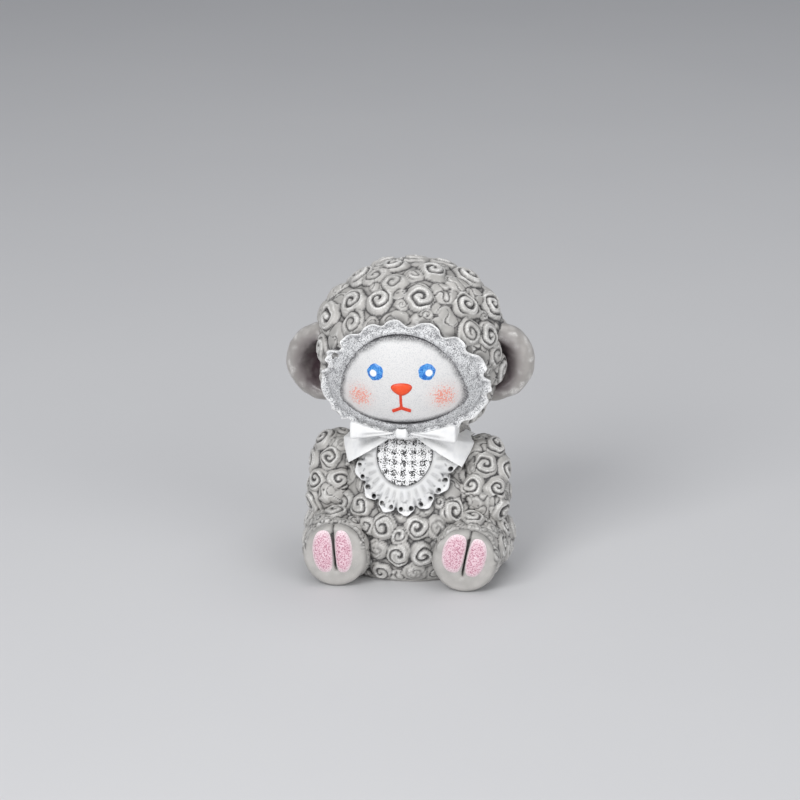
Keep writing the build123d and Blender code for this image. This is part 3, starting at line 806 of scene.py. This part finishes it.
def foot_axes(side):
    """Directions across, up and forward of a foot, mirrored to the left."""
    roll = FOOT_ROLLS[side]
    across = unit(np.cross((math.sin(roll), 0, math.cos(roll)), LEG_FORWARD))
    return np.array((across, np.cross(LEG_FORWARD, across), LEG_FORWARD))


def in_foot(places, side):
    """Places across, up and forward from the middle of a sole."""
    return foot_axes(side) @ (places * (side, 1, 1) - SOLE).T


def from_foot(places, side):
    """Places in the frame from places across, up and forward of a sole."""
    return (SOLE + places @ foot_axes(side)) * (side, 1, 1)


def leg_look(name, side, seed, paint):
    """Leg with two toes at its sole and curls behind them."""
    form = even(f"{name}_wool", [name], cell=0.18, relax=3)
    across, up, ahead = in_foot(form.place, side)
    arcs = 0.7 + 0.7 * np.sqrt(np.clip(1 - ((np.abs(across) - 1.5) / 1.9) ** 2, 0, 1))
    behind = -ahead - arcs
    rim = smooth(1.0, 1.1, np.hypot(across, up - PAD_RISE[side]) / SOLE_BARE) * smooth(0.2, 1.6, up)
    keep = smooth(0.1, 0.8, form.place[:, 2]) * np.maximum(smooth(0.1, 0.5, behind), rim)
    spots = filled(form, curl_spots(f"{name}_curls", name), keep, (1.2, 0.9, 0.7), seed)
    curled(form, spots, seed, keep)
    ring = bell(behind, 0.18) * smooth(0.5, 2.0, up)
    toes = smooth(0.1, -0.2, behind)
    cleft = toes * bell(across, 0.13) * smooth(-2.0, -1.2, up)
    form.push(0.15 * toes - 0.3 * ring - 0.35 * cleft)
    seams = form.near([tree("torso"), tree(name.replace("leg", "arm"))], 0.8)
    # Painted shade in the ring behind the toes, in the cleft between them and along the seams with the torso
    # and the arm.
    form.mark("shade_and_dark_paint", form.masks["shade_and_dark_paint"] + ring + cleft + 0.8 * smooth(0.3, 0.95, seams))
    form.done(paint, "grey_wool", name, f"{name}_curls")


def pad_look(name, side, toe, paint):
    """Toe pad with a straight edge along the groove between the toes."""
    rings, steps, wide = 16, 72, PAD_WIDTHS[side, toe]
    places = np.zeros((steps, rings, 3))
    for step in range(steps):
        turn = 2 * math.pi * step / steps
        part, power = (0.58, 0.95) if math.cos(turn) > 0 else (0.42, 0.6)
        beside = part * wide * math.copysign(abs(math.cos(turn)) ** power, math.cos(turn))
        above = PAD_TALL[side] * math.copysign(abs(math.sin(turn)) ** power, math.sin(turn))
        for ring in range(rings):
            share = ring / (rings - 1)
            ahead = 0.05 + 0.6 * math.sqrt(1 - 0.98 * share**2)
            across = toe * (PAD_GAP + 0.42 * wide + share * beside)
            places[step, ring] = (across, PAD_RISE[side] + share * above, ahead)
    if side * toe < 0:
        places = places[::-1]
    form = grid(f"{name}_pink", from_foot(places, side), False)
    form.mark("edge", np.tile(smooth(0.7, 1.0, np.linspace(0, 1, rings)), steps))
    form.done(paint, "pad_pink", name)


# Bow and bib
def loop_look(name, side, paint):
    """Loop of the bow with creases that run out from the knot."""
    form = even(f"{name}_white", [name], cell=0.14, relax=6)
    x, z = form.place[:, 0] * side, form.place[:, 2] - BOW_HEIGHT
    angle = np.arctan2(z, x)
    crease = np.zeros(form.size)
    for place in (-0.19, 0.12):
        crease = np.maximum(crease, bell(angle - place, 0.045) * smooth(0.8, 1.6, x) * smooth(6.4, 4.6, x))
    puff = 0.25 * smooth(1.0, 3.0, x) * smooth(7.4, 5.5, x)
    form.push(puff - 0.16 * crease)
    # Painted shade in the creases and where the tail meets the loop.
    form.mark("shade_and_dark_paint", 0.45 * crease + 0.7 * form.near([tree(name.replace("loop", "tail"))], 0.35))
    form.mark("edge", 0.0)
    form.place[:, 2] = BOW_HEIGHT + BOW_LIFT + 0.87 * z
    form.done(paint, "bow_white", name)


def tail_look(name, side, paint):
    """Tail of the bow with a crease along it."""
    form = even(f"{name}_white", [name], cell=0.14, relax=3)
    x, z = form.place[:, 0] * side, form.place[:, 2] - BOW_HEIGHT
    crease = bell(np.arctan2(-z, x) - 0.5, 0.05) * smooth(1.0, 2.5, x) * smooth(7.5, 5.0, x)
    form.push(-0.12 * crease)
    seams = form.near([tree(name.replace("tail", "loop"))], 0.4)
    # Painted shade in the crease and where the loop meets the tail.
    form.mark("shade_and_dark_paint", 0.4 * crease + 0.9 * smooth(0.2, 0.9, seams))
    form.mark("edge", 0.0)
    form.place = form.place + (0, 0, BOW_LIFT)
    form.done(paint, "bow_white", name)


def knot_look(paint):
    """Knot of the bow."""
    form = even("bow_knot_white", ["bow_knot"], cell=0.12, relax=5)
    form.push(0.05 * form.lumps(0.9))
    # Painted shade where the loops meet the knot.
    form.mark("shade_and_dark_paint", 0.8 * smooth(0.4, 1.0, form.near([tree("bow_left_loop"), tree("bow_right_loop")], 0.3)))
    form.mark("edge", 0.0)
    form.place = form.place * (0.78, 1, 1) + (0, 0, BOW_LIFT)
    form.done(paint, "bow_white", "bow_knot")


def panel_look(paint):
    """Padded panel of the bib with its lattice of white spots."""
    form = even("bib_panel_gingham", ["bib_panel"], cell=0.12, relax=3)
    x, z = form.place[:, 0], form.place[:, 2] - BIB_HEIGHT
    away = np.hypot(x, z)
    form.push(0.35 * smooth(BIB_RADIUS, 1.0, away))
    rows = smooth(-0.25, 0.25, np.sin(2 * math.pi * z / CHECK_PITCH))
    columns = smooth(-0.25, 0.25, np.sin(2 * math.pi * (x + 0.3) / CHECK_PITCH))
    form.mark("check", (rows + columns) / 2)
    # Painted shade round the panel's rim, where it meets the lace.
    form.mark("shade_and_dark_paint", 0.4 * smooth(3.65, 3.95, away))
    form.done(paint, "gingham", "bib_panel")


def lace_look(paint):
    """Lace collar with pleats, scallops and eyelets."""
    form = even("bib_lace_white", ["bib_lace"], cell=0.1, relax=2)
    x, z = form.place[:, 0], form.place[:, 2] - BIB_HEIGHT
    away, angle = np.hypot(x, z), np.arctan2(z, x)
    pleat = np.cos(2 * SCALLOPS * angle)
    valley = bell(np.mod(SCALLOPS * angle / (2 * math.pi) + 0.5, 1) - 0.5, 0.09)
    form.push(0.1 * pleat * smooth(BIB_RADIUS, 5.4, away) - 0.18 * valley * smooth(BIB_RADIUS, 6.2, away))
    # Eyelets painted as deeper spots, painted shade standing in for holes that the mesh does not open.
    hole = np.zeros(form.size)
    for number in range(2 * SCALLOPS):
        spot = math.pi * (number + 0.5) / SCALLOPS
        ring = EYELET_RING - 0.25 * (number % 3 == 0)
        size = 0.3 + 0.06 * math.sin(5 * number)
        away_hole = np.hypot(x - ring * math.cos(spot), z - ring * math.sin(spot))
        hole = np.maximum(hole, smooth(size, 0.6 * size, away_hole))
    # Painted shade in the pleats' folds, in the scallops' valleys and along the join with the panel; the
    # specks are random darker paint.
    fold = 0.3 * smooth(0.3, -0.9, pleat) * smooth(4.2, 4.8, away) * smooth(6.2, 5.2, away)
    speck = 0.8 * smooth(0.15, 0.6, form.lumps(0.5, 3)) * smooth(5.2, 6.2, away)
    outline = 0.7 * valley * smooth(5.2, 6.2, away) + 0.4 * smooth(4.3, BIB_RADIUS, away)
    form.mark("shade_and_dark_paint", hole + speck + outline + fold)
    form.mark("edge", smooth(LACE_RADIUS - 0.4, LACE_RADIUS, away))
    form.done(paint, "lace_white", "bib_lace")


wool, bow = wool_paint(), white_paint("bow_paint", 248, 248, 247)
ears, eyes, pads = ear_paint(), eye_paint(), pad_paint()
face_look(face_paint())
ruffle_look(ruffle_paint())
nose_look(red_paint("nose_paint", 238, 78, 34))
mouth_look(red_paint("mouth_paint", 222, 60, 30))
torso_look(wool)
for side, name in ((1, "left"), (-1, "right")):
    ear_look(f"{name}_ear", side, ears)
    eye_look(f"{name}_eye", side, eyes)
    arm_look(f"{name}_arm", 21 + side, wool)
    leg_look(f"{name}_leg", side, 31 + side, wool)
    pad_look(f"{name}_inner_toe_pad", side, -1, pads)
    pad_look(f"{name}_outer_toe_pad", side, 1, pads)
    loop_look(f"bow_{name}_loop", side, bow)
    tail_look(f"bow_{name}_tail", side, bow)
knot_look(bow)
hood_look(wool)
panel_look(gingham_paint())
lace_look(white_paint("lace_paint", 220, 220, 219))


# Studio
def lamp(name, place, towards, size, power):
    """Soft square light."""
    light = bpy.data.lights.new(name, "AREA")
    light.size = size
    light.energy = power
    lit = bpy.data.objects.new(name, light)
    lit.location = place
    lit.rotation_euler = (Vector(towards) - Vector(place)).to_track_quat("-Z", "Y").to_euler()
    bpy.context.scene.collection.objects.link(lit)


scene = bpy.context.scene
scene.view_settings.view_transform = "Standard"
middle = (0, 0, 0.022)
lamp("key", (-0.20, -0.42, 0.32), middle, 0.30, 1.95)
lamp("fill", (0.38, -0.34, 0.20), middle, 0.40, 1.05)
lamp("top", (0.05, 0.10, 0.50), middle, 0.35, 0.75)

world = bpy.data.worlds.new("studio")
world.use_nodes = True
world.node_tree.nodes["Background"].inputs["Color"].default_value = (0.9, 0.93, 1.0, 1)
world.node_tree.nodes["Background"].inputs["Strength"].default_value = 0.28
scene.world = world

bpy.ops.mesh.primitive_plane_add(size=6)
floor = bpy.context.object
floor.name = "floor"
floor.data.materials.append(floor_paint())

lens = bpy.data.cameras.new("camera")
lens.lens = CAMERA_LENS
lens.clip_start = 0.01
camera = bpy.data.objects.new("camera", lens)
placing = Matrix((SEEN_RIGHT, SEEN_UP, SEEN_FROM)).transposed().to_4x4()
placing.translation = Vector((AIM_RIGHT * SEEN_RIGHT + AIM_UP * SEEN_UP + CAMERA_AWAY * SEEN_FROM) * MM)
camera.matrix_world = placing
scene.collection.objects.link(camera)
scene.camera = camera
